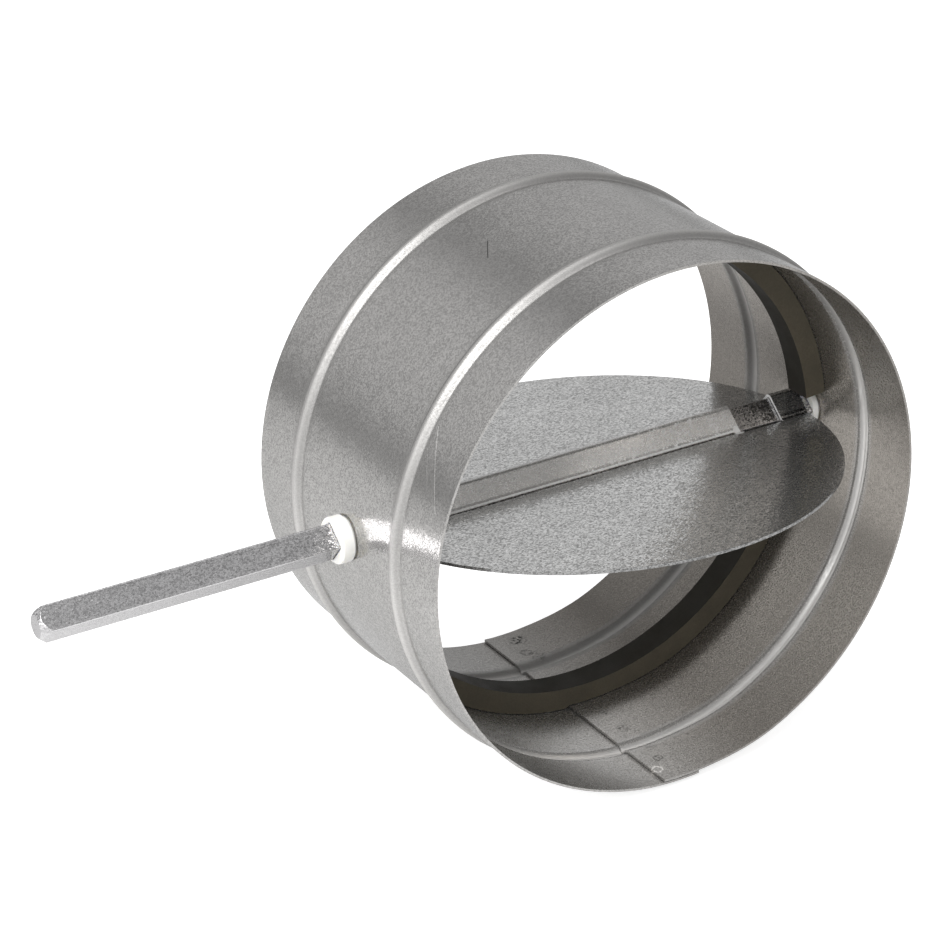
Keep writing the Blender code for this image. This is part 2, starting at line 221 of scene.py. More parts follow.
class Graph:
    """Adds nodes to a tree and joins them, left to right, and feeds its shader if it has one."""

    def __init__(self, tree, shader=None):
        self.tree = tree
        self.shader = shader
        self.column = 0

    def feed(self, socket, value):
        """Join a socket to another, or give it a plain value."""
        if isinstance(value, bpy.types.NodeSocket):
            self.tree.links.new(value, socket)
        elif value is not None:
            socket.default_value = value

    def paint(self, name, value):
        """Feed one of the shader's inputs."""
        self.feed(self.shader.inputs[name], value)

    def add(self, kind, inputs=None, **settings):
        """A node of a kind, with its settings and inputs by name or place."""
        node = self.tree.nodes.new(kind)
        node.location = (self.column * 180.0, 0.0)
        self.column += 1
        for name, value in settings.items():
            setattr(node, name, value)
        for key, value in (inputs or {}).items():
            self.feed(node.inputs[key], value)
        return node

    def math(self, operation, first, second=None, third=None):
        """The result of a sum on numbers or sockets."""
        node = self.add("ShaderNodeMath", {0: first, 1: second, 2: third}, operation=operation)
        return node.outputs[0]

    def times(self, first, second):
        """The product of two numbers."""
        return self.math("MULTIPLY", first, second)

    def minus(self, first, second):
        """A number less another."""
        return self.math("SUBTRACT", first, second)

    def size(self, value):
        """A number without its sign."""
        return self.math("ABSOLUTE", value)

    def more(self, value, amount, change):
        """A number with an amount of a change added."""
        return self.math("MULTIPLY_ADD", amount, change, value)

    def pulled(self, value, aim, part):
        """A number moved a part of the way to an aim."""
        return self.more(value, self.minus(aim, value), part)

    def vector(self, operation, first, second=None):
        """The result of a vector sum."""
        node = self.add("ShaderNodeVectorMath", {0: first, 1: second}, operation=operation)
        return node.outputs[0]

    def measure(self, operation, first, second=None):
        """The number that a vector sum gives, such as a length or a dot product."""
        node = self.add("ShaderNodeVectorMath", {0: first, 1: second}, operation=operation)
        return node.outputs["Value"]

    def scaled(self, value, factor):
        """A vector or colour times a number."""
        inputs = {0: value, "Scale": factor}
        return self.add("ShaderNodeVectorMath", inputs, operation="SCALE").outputs[0]

    def parts(self, value):
        """A vector's three numbers."""
        return self.add("ShaderNodeSeparateXYZ", {0: value}).outputs

    def joined(self, x, y, z=None):
        """A vector made of numbers."""
        return self.add("ShaderNodeCombineXYZ", {0: x, 1: y, 2: z}).outputs[0]

    def spread(self, value, low, high, to_low=0.0, to_high=1.0, kind="LINEAR"):
        """A value carried from one range to another, and held at its ends."""
        inputs = {
            "Value": value, "From Min": low, "From Max": high, "To Min": to_low, "To Max": to_high,
        }
        return self.add("ShaderNodeMapRange", inputs, interpolation_type=kind).outputs[0]

    def clouded(self, cloudy, to_low, to_high=1.0):
        """A cloudy value carried to a range of its own."""
        return self.spread(cloudy, 0.3, 0.7, to_low, to_high)

    def noise(self, place, scale, detail=2.0, rough=0.5):
        """A cloudy value about 0.5."""
        inputs = {"Vector": place, "Scale": scale, "Detail": detail, "Roughness": rough}
        return self.add("ShaderNodeTexNoise", inputs).outputs[0]

    def stretched(self, place, factors, turned=(0.0, 0.0, 0.0)):
        """A place in space, stretched along its axes."""
        inputs = {"Vector": place, "Rotation": turned, "Scale": factors}
        return self.add("ShaderNodeMapping", inputs).outputs[0]


def new_material(name, roughness, metallic):
    """A material and its graph, ready for detail."""
    material = bpy.data.materials.new(name)
    material.use_nodes = True
    graph = Graph(material.node_tree, material.node_tree.nodes["Principled BSDF"])
    graph.paint("Roughness", roughness)
    graph.paint("Metallic", metallic)
    return material, graph


# Mesh helpers


def add_object(name, data):
    """Link a new object to the scene."""
    item = bpy.data.objects.new(name, data)
    bpy.context.scene.collection.objects.link(item)
    return item


def object_from(name, form):
    """Turn a bmesh into an object."""
    mesh = bpy.data.meshes.new(name)
    form.to_mesh(mesh)
    form.free()
    return add_object(name, mesh)


def turned_object(name, points):
    """A round solid, turned from (radius, height) points about its own Z axis."""
    form = bmesh.new()
    corners = [form.verts.new((radius, 0.0, height)) for radius, height in points]
    for upper, lower in zip(corners, corners[1:]):
        form.edges.new((upper, lower))
    item = object_from(name, form)
    modifier = item.modifiers.new("turned", "SCREW")
    modifier.angle = math.tau
    modifier.steps = TURN_STEPS
    modifier.render_steps = TURN_STEPS
    modifier.use_merge_vertices = True
    modifier.merge_threshold = MERGE_WITHIN
    return item


def wall_modifier(item, thickness):
    """Thicken a sheet evenly to both sides."""
    modifier = item.modifiers.new("wall", "SOLIDIFY")
    modifier.thickness = thickness
    modifier.offset = 0.0
    modifier.use_even_offset = True


def cut(item, tool, operation="DIFFERENCE"):
    """Cut, join or trim an object with a tool."""
    modifier = item.modifiers.new(operation.lower(), "BOOLEAN")
    modifier.operation = operation
    modifier.solver = "EXACT"
    modifier.object = tool


def eased(item, width, over, segments=2):
    """Round an object's edges that turn by more than so many degrees."""
    modifier = item.modifiers.new("eased", "BEVEL")
    modifier.limit_method = "ANGLE"
    modifier.angle_limit = math.radians(over)
    modifier.width = width
    modifier.segments = segments
    modifier.use_clamp_overlap = True


def plain_mesh(item):
    """An object's mesh as its modifiers leave it."""
    bpy.context.view_layer.update()
    graph = bpy.context.evaluated_depsgraph_get()
    return bpy.data.meshes.new_from_object(item.evaluated_get(graph), depsgraph=graph)


def settle(item, tools=()):
    """Apply an object's modifiers and place, shade it round and remove its tools."""
    mesh = plain_mesh(item)
    mesh.transform(item.matrix_world)
    name = item.name
    for old in (item, *tools):
        bpy.data.objects.remove(old, do_unlink=True)
    mesh.name = name
    mesh.shade_smooth()
    mesh.set_sharp_from_angle(angle=SHARP_OVER)
    piece = add_object(name, mesh)
    even = piece.modifiers.new("even", "WEIGHTED_NORMAL")
    even.weight = EVEN_WEIGHT
    even.keep_sharp = True
    finished = plain_mesh(piece)
    piece.modifiers.clear()
    piece.data = finished
    return piece


def dress(piece, material, body, node):
    """Give a piece its material, its body and the node that it stands for."""
    piece.data.materials.clear()
    piece.data.materials.append(material)
    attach(piece, body)
    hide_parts(node)


def cylinder_object(name, radius, depth, steps, place=None):
    """A closed cylinder along Z, or placed."""
    form = bmesh.new()
    bmesh.ops.create_cone(
        form, cap_ends=True, segments=steps, radius1=radius, radius2=radius, depth=depth
    )
    if place is not None:
        bmesh.ops.transform(form, matrix=place, verts=form.verts)
    return object_from(name, form)


def bar_form(side, start, end, corner, segments):
    """A square bar along X, set on its corner, with its long edges rounded."""
    form = bmesh.new()
    bmesh.ops.create_cube(form, size=1.0)
    bmesh.ops.scale(form, vec=Vector((end - start, side, side)), verts=form.verts)
    long_edges = [edge for edge in form.edges if edge.calc_length() > side * 1.5]
    bmesh.ops.bevel(
        form, geom=long_edges, offset=corner, segments=segments, profile=0.5, affect="EDGES"
    )
    middle = Matrix.Translation(((start + end) / 2, 0.0, 0.0))
    turned = Matrix.Rotation(math.pi / 4, 4, "X")
    bmesh.ops.transform(form, matrix=middle @ turned, verts=form.verts)
    return form


def blade_turn():
    """The blade's turn about the shaft at rest."""
    return Matrix.Rotation(-bpy.context.scene.damper_blade.tilt, 4, "X")


def blade_foot(blade):
    """How far from the shaft's axis the pressed slopes meet the flat sheet."""
    return blade.rise + blade.bend * math.tan(math.pi / 8)


# Materials

EDGE_TINT = (0.8, 0.8, 0.8, 1.0)
LIGHTEST = 0.96
# The zinc's pattern: its share of frost, its clouds against its grains, its broad clouds.
FROST_SHARE = 0.35
CLOUDS_TO_GRAINS = 14.0
CLOUD_SHARE = 0.2
BROAD_SCALE = 28.0
BROAD_LEVEL = 0.93
# The range of the pattern that shows, in tone and in gloss.
TONE_RANGE = (0.25, 0.7)
GLOSS_RANGE = (0.25, 0.65)

# Ramps, as (start, end, value at the start, value at the end).
# Off a bead's middle line, painted highlights: the level on its crest outside and in its hollow
# inside.
CREST_HIGHLIGHT = (0.3 * MM, 1.7 * MM, 0.9, 0.6)
HOLLOW_HIGHLIGHT = (0.5 * MM, 1.8 * MM, 1.9, 0.85)
# Up the casing: how much lighter the crests' painted highlights are low down.
CREST_HIGHLIGHT_LIFT = (-10.0 * MM, 25.0 * MM, 1.28, 1.0)
# From the front hollow to the rear one: the change of roughness and of metal.
HOLLOW_ROUGH = (-1.0 * MM, 1.0 * MM, -0.32, 0.15)
HOLLOW_METAL = (-1.0 * MM, 1.0 * MM, -0.33, -0.5)
# The wall's inside, in painted shade: its level across the duct, its darker upper back and how far
# across the duct it takes the darker, warmer inner colour.
INSIDE_ACROSS = (-12.0 * MM, 30.0 * MM, 1.25, 0.92)
DARK_BACK = (-8.0 * MM, 16.0 * MM)
DARK_HEIGHT = (15.0 * MM, 40.0 * MM, 0.42, 0.0)
INNER_SHADE_ACROSS = (-15.0 * MM, 25.0 * MM, 0.1, 1.0)
INSIDE_SHADE_LEVEL = 0.84
INSIDE_ROUGH = 0.06
INSIDE_METAL = -0.22
BEAD_ROUGH = 0.26
# How ragged the weld marks are, and the soft edges of their rings and of the scratches.
RAGGED_SCALE = 900.0
RAGGED_REACH = 3.0 * MM
SPLASH_RANGE = (0.50, 0.56)
RING_EDGE = (0.12 * MM, 0.35 * MM)
SCRATCH_EDGE = (0.08 * MM, 0.2 * MM)
# Marks of the spot welds, in millimetres: across the sheet, along it, radius, ring, specks. A ring
# below zero makes the sheet lighter: a painted glint.
WELD_MARKS = (
    (-43.8, 1.6, 1.5, -1.0, 0.0), (-38.4, 5.5, 1.3, 0.45, 0.35), (-32.0, 6.8, 2.2, 0.0, 0.4),
    (-18.7, 6.2, 1.9, 0.25, 0.6), (-7.8, 6.6, 1.8, 0.0, 0.55), (2.5, 2.3, 1.2, 0.0, 0.4),
    (32.8, 8.7, 3.0, 0.0, 0.55), (36.2, 6.6, 1.6, 0.5, 0.3), (44.0, 8.7, 3.4, 0.0, 0.9),
)
# Scratches, in millimetres: start and end as (along the sheet, across it), darkness.
SCRATCHES = (
    ((282.6, 6.3), (287.1, -0.7), 0.75),
    ((333.8, -32.3), (354.5, -44.6), -0.8),
    ((340.0, -31.8), (351.4, -38.9), -0.3),
)


def zinc_finish(name, colour, roughness, haze, grain, stretch, contrast, lean, marks, inner=None):
    """Zinc on steel: a crisp spangle of leaning grains, soft clouds and the piece's own marks."""
    material, graph = new_material(name, roughness, 1.0)
    graph.paint("Specular Tint", EDGE_TINT)
    coordinates = graph.add("ShaderNodeTexCoord").outputs
    place = coordinates["Object"]
    along = graph.stretched(place, stretch)
    cells = graph.add("ShaderNodeTexVoronoi", {"Vector": along, "Scale": grain})
    crystal = graph.add("ShaderNodeSeparateColor", {0: cells.outputs["Color"]}).outputs[0]
    frost = graph.times(graph.noise(along, grain * 1.5), FROST_SHARE)
    fine = graph.more(frost, crystal, 1.0 - FROST_SHARE)
    clouds = graph.noise(along, grain / CLOUDS_TO_GRAINS, 3.0, 0.55)
    broad = graph.noise(place, BROAD_SCALE, 2.0)
    level = graph.spread(fine, *TONE_RANGE, 1.0 - contrast, 1.0)
    level = graph.times(level, graph.clouded(clouds, 1.0 - contrast * CLOUD_SHARE))
    level = graph.times(level, graph.clouded(broad, BROAD_LEVEL))
    rough = graph.spread(fine, *GLOSS_RANGE, roughness + haze, roughness)
    level, rough, metal, inner_shade, calm = marks(graph, coordinates, level, rough)
    tone = colour
    # Painted shade: the tone goes over to the darker, warmer inner colour where the marks ask for
    # it.
    if inner:
        sides = {0: inner_shade, 6: (*colour, 1.0), 7: (*inner, 1.0)}
        tone = graph.add("ShaderNodeMix", sides, data_type="RGBA").outputs[2]
    level = graph.math("MINIMUM", level, LIGHTEST / max(colour))
    graph.paint("Base Color", graph.scaled(tone, level))
    graph.paint("Roughness", rough)
    graph.paint("Metallic", metal)
    leaning = graph.vector("SUBTRACT", cells.outputs["Color"], (0.5, 0.5, 0.5))
    leaning = graph.scaled(leaning, graph.more(lean, calm, -lean))
    normal = graph.add("ShaderNodeNewGeometry").outputs["Normal"]
    normal = graph.vector("NORMALIZE", graph.vector("ADD", normal, leaning))
    graph.paint("Normal", normal)
    return material


def inner_side(graph, coordinates):
    """1 on faces that look towards the duct's axis, 0 on faces that look away from it."""
    outwards = graph.stretched(coordinates["Object"], (1.0, 0.0, 1.0))
    facing = graph.measure("DOT_PRODUCT", outwards, coordinates["Normal"])
    return graph.spread(facing, -0.01, 0.01, 1.0, 0.0)


def from_line(graph, here, start, end):
    """The distance from a place to a line between two points that are in millimetres."""
    start = Vector((*start, 0.0)) * MM
    run = Vector((*end, 0.0)) * MM - start
    past = graph.vector("SUBTRACT", here, start)
    along = graph.measure("DOT_PRODUCT", past, run / run.length_squared)
    along = graph.math("MAXIMUM", graph.math("MINIMUM", along, 1.0), 0.0)
    return graph.measure("DISTANCE", past, graph.scaled(run, along))


def weld_burns_and_glint(graph, place, along, across):
    """How dark the spot welds' rings and specks are on the lapped sheet; a ring below zero is a
    painted glint that makes the sheet lighter.
    """
    casing = bpy.context.scene.damper_casing
    round_once = math.tau * (casing.diameter - casing.sheet) / 2
    here = graph.joined(graph.math("MODULO", along, round_once), across)
    ragged = graph.noise(place, RAGGED_SCALE, 4.0, 0.7)
    wander = graph.times(graph.minus(ragged, 0.5), RAGGED_REACH)
    splashed = graph.spread(ragged, *SPLASH_RANGE)
    burns_and_glint = 0.0
    for x, y, radius, ring, specks in WELD_MARKS:
        away = graph.measure("DISTANCE", here, (y * MM, x * MM, 0.0))
        away = graph.math("ADD", away, wander)
        off_ring = graph.size(graph.minus(away, radius * MM))
        circle = graph.spread(off_ring, *RING_EDGE, ring, 0.0)
        inner = graph.spread(away, radius * MM * 0.8, radius * MM, specks, 0.0)
        burns_and_glint = graph.math("ADD", burns_and_glint, graph.more(circle, inner, splashed))
    return burns_and_glint


def casing_marks(graph, coordinates, level, rough):
    """The casing's duller beads with painted highlights, its inner side in painted shade, weld
    marks along the lap with one painted glint, and a few scratches.
    """
    casing = bpy.context.scene.damper_casing
    x, y, z = graph.parts(coordinates["Object"])
    along, across = graph.parts(coordinates["UV"])[:2]
    off_bead = graph.size(graph.minus(graph.size(across), casing.bead_place))
    inside = inner_side(graph, coordinates)
    bead = graph.spread(off_bead, casing.bead_width * 0.3, casing.bead_width * 0.75, 1.0, 0.0)
    # Painted highlights: the crest is lighter than the bead's flanks outside, the hollow much
    # lighter inside, and both lighter low down.
    crest = graph.spread(off_bead, *CREST_HIGHLIGHT, "SMOOTHSTEP")
    crest = graph.times(crest, graph.spread(z, *CREST_HIGHLIGHT_LIFT))
    hollow = graph.spread(off_bead, *HOLLOW_HIGHLIGHT, "SMOOTHSTEP")
    # Painted shade: the inside is pulled darker.
    level = graph.pulled(level, INSIDE_SHADE_LEVEL, graph.times(inside, 0.5))
    level = graph.pulled(level, graph.pulled(crest, hollow, inside), graph.times(bead, 0.8))
    bead_rough = graph.more(BEAD_ROUGH, inside, graph.spread(y, *HOLLOW_ROUGH))
    rough = graph.more(graph.more(rough, bead, bead_rough), inside, INSIDE_ROUGH)
    matt = graph.times(inside, graph.spread(y, *HOLLOW_METAL))
    metal = graph.more(graph.more(1.0, inside, INSIDE_METAL), bead, matt)
    # Painted shade: darker at the upper back, lighter towards -X inside, and the darker, warmer
    # inner colour towards +X.
    back = graph.times(graph.spread(y, *DARK_BACK), graph.spread(z, *DARK_HEIGHT))
    wall = graph.times(graph.spread(x, *INSIDE_ACROSS), graph.minus(1.0, back))
    level = graph.times(level, graph.more(1.0, graph.minus(wall, 1.0), inside))
    inner_shade = graph.times(graph.times(inside, graph.minus(1.0, bead)), graph.spread(x, *INNER_SHADE_ACROSS))
    # Weld burns darken the sheet; the one ring below zero is a painted glint.
    burns_and_glint = weld_burns_and_glint(graph, coordinates["Object"], along, across)
    level = graph.times(level, graph.minus(1.0, burns_and_glint))
    rough = graph.more(rough, burns_and_glint, 0.2)
    for start, end, darkness in SCRATCHES:
        away = from_line(graph, coordinates["UV"], start, end)
        line = graph.spread(away, *SCRATCH_EDGE, darkness, 0.0)
        level = graph.times(level, graph.minus(1.0, line))
    calm = graph.math("MAXIMUM", graph.times(bead, 0.8), graph.times(inside, 0.6))
    return level, rough, metal, inner_shade, calm


# The blade's dirt: cells to the metre, how rare the dirty ones are, each speck's soft edge.
DIRT_CELLS = 42.0
DIRT_RARE = 0.62
DIRT_EDGE = (0.010, 0.016, 0.75, 0.0)
# Painted shadow in the slot beside each window: how far in, how wide and how dark.
SLOT_INSET = 0.1 * MM
SLOT_REACH = 0.6 * MM
SLOT_SHADOW_DARKNESS = -0.93
# Up the ridge: where its rubbed part begins. Along it: its painted light, a level that grows
# lighter towards +X.
RIDGE_RUBBED = (0.6 * MM, 1.0 * MM)
RIDGE_PAINTED_LIGHT = (-10.0 * MM, 45.0 * MM, 0.95, 1.1)
# Painted shade: dark lines along the ridge's bends and crest, in millimetres: height, reach,
# change of level.
RIDGE_SHADE_LINES = ((0.6, 0.3, -0.45), (1.5, 0.35, -0.4), (6.4, 0.5, -0.25))
# The painted highlight along the ridge's foot, and the painted glint on the burr at its corner by
# the window.
FOOT_HIGHLIGHT = 1.05 * MM
FOOT_HIGHLIGHT_EDGE = (0.15 * MM, 0.3 * MM, 0.7, 0.0)
BURR_GLINT = (-0.4 * MM, 0.8 * MM, 0.9 * MM)
BURR_GLINT_EDGE = (1.5 * MM, 1.9 * MM, 1.0, 0.0)
# Where the press rubbed the ridge: patches, and the pits in them.
PATCH_SCALE = 42.0
PATCH_RANGE = (0.46, 0.62)
PIT_SCALE = 900.0
PIT_RANGE = (0.56, 0.66)


def blade_marks(graph, coordinates, level, rough):
    """The blade's dirt, painted glints on its shorn edges, burr and ridge foot, painted shadow in
    its slots, painted light and shade on its ridge, and the pits where the press rubbed it.
    """
    blade = bpy.context.scene.damper_blade
    foot = blade_foot(blade)
    place = graph.stretched(coordinates["Object"], (1.0, 1.0, 1.0), (blade.tilt, 0.0, 0.0))
    x, y, z = graph.parts(place)
    beside, across = graph.size(x), graph.size(y)
    cells = graph.add("ShaderNodeTexVoronoi", {"Vector": place, "Scale": DIRT_CELLS})
    picked = graph.add("ShaderNodeSeparateColor", {0: cells.outputs["Color"]}).outputs[0]
    near = graph.spread(cells.outputs["Distance"], *DIRT_EDGE)
    dirt = graph.times(near, graph.math("GREATER_THAN", picked, DIRT_RARE))
    level = graph.times(level, graph.minus(1.0, dirt))
    outwards = graph.measure("LENGTH", graph.stretched(place, (1.0, 1.0, 0.0)))
    rim = graph.spread(outwards, blade.radius - 0.16 * MM, blade.radius - 0.06 * MM, 1.0, 0.5)
    level = graph.times(level, rim)
    middle, reach = (blade.ridge + blade.strap) / 2, (blade.strap - blade.ridge) / 2
    window = graph.math("COMPARE", beside, middle, reach)
    # Painted shadow: a dark band along the slot beside each window.
    slot_shadow = graph.times(window, graph.math("COMPARE", across, foot - SLOT_INSET, SLOT_REACH))
    level = graph.times(level, graph.more(1.0, slot_shadow, SLOT_SHADOW_DARKNESS))
    on_ridge = graph.math("LESS_THAN", beside, blade.ridge + 0.1 * MM)
    high = graph.times(graph.spread(z, *RIDGE_RUBBED), on_ridge)
    # Painted light: the ridge's top is pulled to a level that grows lighter along it.
    level = graph.pulled(level, graph.spread(x, *RIDGE_PAINTED_LIGHT), graph.times(high, 0.8))
    # Painted shade: dark lines along the ridge's bends and crest.
    raised = graph.math("LESS_THAN", across, foot)
    for height, reach, change in RIDGE_SHADE_LINES:
        off = graph.size(graph.minus(z, height * MM))
        line = graph.spread(off, reach * 0.6 * MM, reach * MM, change, 0.0)
        level = graph.more(level, line, raised)
    patches = graph.spread(graph.noise(place, PATCH_SCALE, 2.0), *PATCH_RANGE)
    pits = graph.spread(graph.noise(place, PIT_SCALE, 2.0), *PIT_RANGE)
    rubbed = graph.times(graph.times(patches, pits), high)
    level = graph.more(level, rubbed, 0.6)
    # Painted glints: the shorn edges, the burr and the ridge's foot are made lighter and less
    # metallic; the rubbed pits add their real wear.
    facing = graph.parts(coordinates["Normal"])[0]
    shorn_glint = graph.spread(graph.size(facing), 0.35, 0.6)
    shorn_glint = graph.times(shorn_glint, graph.spread(across, foot, foot + 2.0 * MM, 1.0, 0.0))
    corner = (blade.ridge + BURR_GLINT[0], BURR_GLINT[1] - foot, BURR_GLINT[2])
    burr_glint = graph.spread(graph.measure("DISTANCE", place, corner), *BURR_GLINT_EDGE)
    foot_highlight = graph.spread(graph.size(graph.minus(z, FOOT_HIGHLIGHT)), *FOOT_HIGHLIGHT_EDGE)
    foot_highlight = graph.times(foot_highlight, on_ridge)
    glints_and_rub = shorn_glint
    for other in (burr_glint, foot_highlight, graph.times(rubbed, 0.7)):
        glints_and_rub = graph.math("MAXIMUM", glints_and_rub, other)
    level = graph.math("ADD", level, glints_and_rub)
    rough = graph.math("MAXIMUM", rough, graph.times(glints_and_rub, 0.55))
    rough = graph.more(rough, rubbed, 0.35)
    metal = graph.more(graph.more(0.93, high, -0.3), glints_and_rub, -0.6)
    return level, rough, graph.math("MAXIMUM", metal, 0.3), 0.0, graph.times(high, 0.4)


# The shaft's plating: smooth and in painted shade on the lower flats, in painted shade where it
# runs inside the duct, with a painted highlight along its long edges.
SMOOTH_SHADED_FACING = (0.0, 0.5, 0.85, 0.0)
SHADED_FLAT_LEVEL = 0.58
DUCT_SHADE_REACH = (70.0 * MM, 71.0 * MM, 0.75, 0.0)
DUCT_SHADE_LEVEL = 0.5
EDGE_HIGHLIGHT_REACH = (0.35 * MM, 0.1 * MM)
EDGE_HIGHLIGHT_CHANGE = 0.12


def shaft_marks(graph, coordinates, level, rough):
    """The bar's painted highlight along its long edges, and painted shade on its lower flats and
    inside the duct.
    """
    shaft = bpy.context.scene.damper_shaft
    x = graph.parts(coordinates["Object"])[0]
    # Painted shade: the lower flats are darker as well as smoother.
    smooth = graph.spread(graph.parts(coordinates["Normal"])[2], *SMOOTH_SHADED_FACING)
    level = graph.pulled(level, SHADED_FLAT_LEVEL, smooth)
    # Painted shade: the bar is darker where it runs inside the duct.
    level = graph.pulled(level, DUCT_SHADE_LEVEL, graph.spread(graph.size(x), *DUCT_SHADE_REACH))
    # Painted highlight: a lighter line along each long edge.
    off_axis = graph.measure("LENGTH", graph.stretched(coordinates["Object"], (0.0, 1.0, 1.0)))
    corner = shaft.side / math.sqrt(2) - shaft.edge * (math.sqrt(2) - 1)
    edge_highlight = graph.spread(off_axis, corner - EDGE_HIGHLIGHT_REACH[0], corner - EDGE_HIGHLIGHT_REACH[1])
    return graph.more(level, edge_highlight, EDGE_HIGHLIGHT_CHANGE), rough, 0.97, 0.0, smooth


def relief(graph, height, strength, depth):
    """Feed a fine bump to the shader."""
    bump = graph.add("ShaderNodeBump", {"Strength": strength, "Distance": depth, "Height": height})
    graph.paint("Normal", bump.outputs[0])


def nylon_finish(name, colour):
    """Moulded nylon: milky, a little glossy, faintly uneven."""
    material, graph = new_material(name, 0.42, 0.0)
    place = graph.add("ShaderNodeTexCoord").outputs["Object"]
    clouds = graph.noise(place, 260.0, 3.0)
    graph.paint("Base Color", graph.scaled(colour, graph.clouded(clouds, 0.93)))
    graph.paint("Roughness", graph.clouded(clouds, 0.36, 0.5))
    graph.paint("Subsurface Weight", 0.25)
    graph.paint("Subsurface Radius", (1.0, 0.9, 0.7))
    graph.paint("Subsurface Scale", 1.5 * MM)
    relief(graph, graph.noise(place, 1800.0, 2.0), 0.15, 0.1 * MM)
    return material


def rubber_finish(name, colour):
    """Foamed rubber strip: matt, finely porous, darker on the faces that don't look along the
    duct.
    """
    material, graph = new_material(name, 0.78, 0.0)
    coordinates = graph.add("ShaderNodeTexCoord").outputs
    place = coordinates["Object"]
    fine = graph.noise(place, 1500.0, 4.0, 0.7)
    clouds = graph.noise(place, 90.0, 3.0)
    level = graph.times(graph.spread(fine, 0.25, 0.75, 0.75, 1.0), graph.clouded(clouds, 0.8))
    # Darker on the faces that don't look along the duct.
    facing = graph.size(graph.parts(coordinates["Normal"])[1])
    level = graph.times(level, graph.spread(facing, 0.5, 0.8, 0.22, 1.0))
    graph.paint("Base Color", graph.scaled(colour, level))
    graph.paint("Roughness", graph.clouded(clouds, 0.62, 0.85))
    graph.paint("Specular IOR Level", 0.3)
    relief(graph, fine, 0.35, 0.2 * MM)
    return material


# Pools of light in the table, in metres: place, inner and outer radius, then the strength.
FLOOR_GLOWS = (((0.0, 0.05), 0.08, 0.40, 0.11), ((-0.20, -0.02), 0.04, 0.14, 0.32))
FLOOR_DROP = 0.3 * MM


def floor_finish(name, colour, glow):
    """A pale, matt table that glows to the camera and has weak pools of light for all."""
    material, graph = new_material(name, 0.9, 0.0)
    graph.paint("Emission Color", (1.0, 1.0, 1.0, 1.0))
    place = graph.add("ShaderNodeTexCoord").outputs["Object"]
    seen = graph.add("ShaderNodeLightPath").outputs["Is Camera Ray"]
    beneath = 0.0
    for spot, inner, outer, strength in FLOOR_GLOWS:
        away = graph.measure("DISTANCE", place, (*spot, cad_bounds[0][2]))
        lit = graph.spread(away, inner, outer, strength, 0.0, "SMOOTHSTEP")
        beneath = graph.math("ADD", lit, beneath)
    graph.paint("Emission Strength", graph.more(beneath, seen, glow))
    level = graph.clouded(graph.noise(place, 3.0, 2.0), 0.985)
    graph.paint("Base Color", graph.scaled(colour, level))
    return material


# Casing

# The wall's dents: how close they lie, and their spacing along the duct against that.
DENT_SCALE = 26.0
DENT_STRETCH = 0.6


def rolling_tree():
    """Rolls a flat blank round Y: beads pressed in, one edge tucked under the other."""
    numbers = (
        "Sheet Radius", "Bead Place", "Bead Width", "Bead Height", "Lap Step", "Lap Level",
        "Run-out", "Start Angle", "Dent Depth",
    )
    tree = bpy.data.node_groups.new("roll_sheet", "GeometryNodeTree")
    tree.interface.new_socket("Geometry", in_out="INPUT", socket_type="NodeSocketGeometry")
    tree.interface.new_socket("Geometry", in_out="OUTPUT", socket_type="NodeSocketGeometry")
    for name in numbers:
        tree.interface.new_socket(name, in_out="INPUT", socket_type="NodeSocketFloat")
    tree.interface.new_socket("Material", in_out="INPUT", socket_type="NodeSocketMaterial")
    graph = Graph(tree)
    value = graph.add("NodeGroupInput").outputs
    along, across = graph.parts(graph.add("GeometryNodeInputPosition").outputs[0])[:2]

    off_bead = graph.minus(graph.size(across), value["Bead Place"])
    turns = graph.math("DIVIDE", off_bead, value["Bead Width"])
    turns = graph.math("MAXIMUM", graph.math("MINIMUM", turns, 0.5), -0.5)
    phase = graph.times(turns, math.tau)
    half = graph.times(value["Bead Height"], 0.5)
    rise = graph.times(half, graph.math("ADD", graph.math("COSINE", phase), 1.0))
    steep = graph.times(value["Bead Height"], -math.pi)
    steep = graph.math("DIVIDE", steep, value["Bead Width"])
    slope = graph.times(graph.times(steep, graph.math("SINE", phase)), graph.math("SIGN", across))
    stretch = graph.math("SQRT", graph.more(1.0, slope, slope))

    end = graph.math("ADD", value["Lap Level"], value["Run-out"])
    tuck = graph.spread(along, value["Lap Level"], end, value["Lap Step"], 0.0, "SMOOTHSTEP")
    radius = graph.math("ADD", value["Sheet Radius"], rise)
    radius = graph.minus(radius, graph.math("DIVIDE", tuck, stretch))
    shift = graph.times(tuck, graph.math("DIVIDE", slope, stretch))
    turned = graph.math("DIVIDE", along, value["Sheet Radius"])
    angle = graph.math("ADD", value["Start Angle"], turned)
    aside, upwards = graph.math("COSINE", angle), graph.math("SINE", angle)

    smooth = graph.joined(
        graph.times(value["Sheet Radius"], aside),
        graph.times(across, DENT_STRETCH),
        graph.times(value["Sheet Radius"], upwards),
    )
    waves = graph.noise(smooth, DENT_SCALE, 1.0)
    radius = graph.minus(radius, graph.times(value["Dent Depth"], waves))
    rolled = graph.joined(
        graph.times(radius, aside),
        graph.math("ADD", across, shift),
        graph.times(radius, upwards),
    )
    placed = graph.add("GeometryNodeSetPosition", {"Geometry": value[0], "Position": rolled})
    plain = graph.add("GeometryNodeRealizeInstances", {"Geometry": placed.outputs[0]})
    inputs = {"Geometry": plain.outputs[0], "Material": value["Material"]}
    painted = graph.add("GeometryNodeSetMaterial", inputs)
    graph.add("NodeGroupOutput", {0: painted.outputs[0]})
    return tree


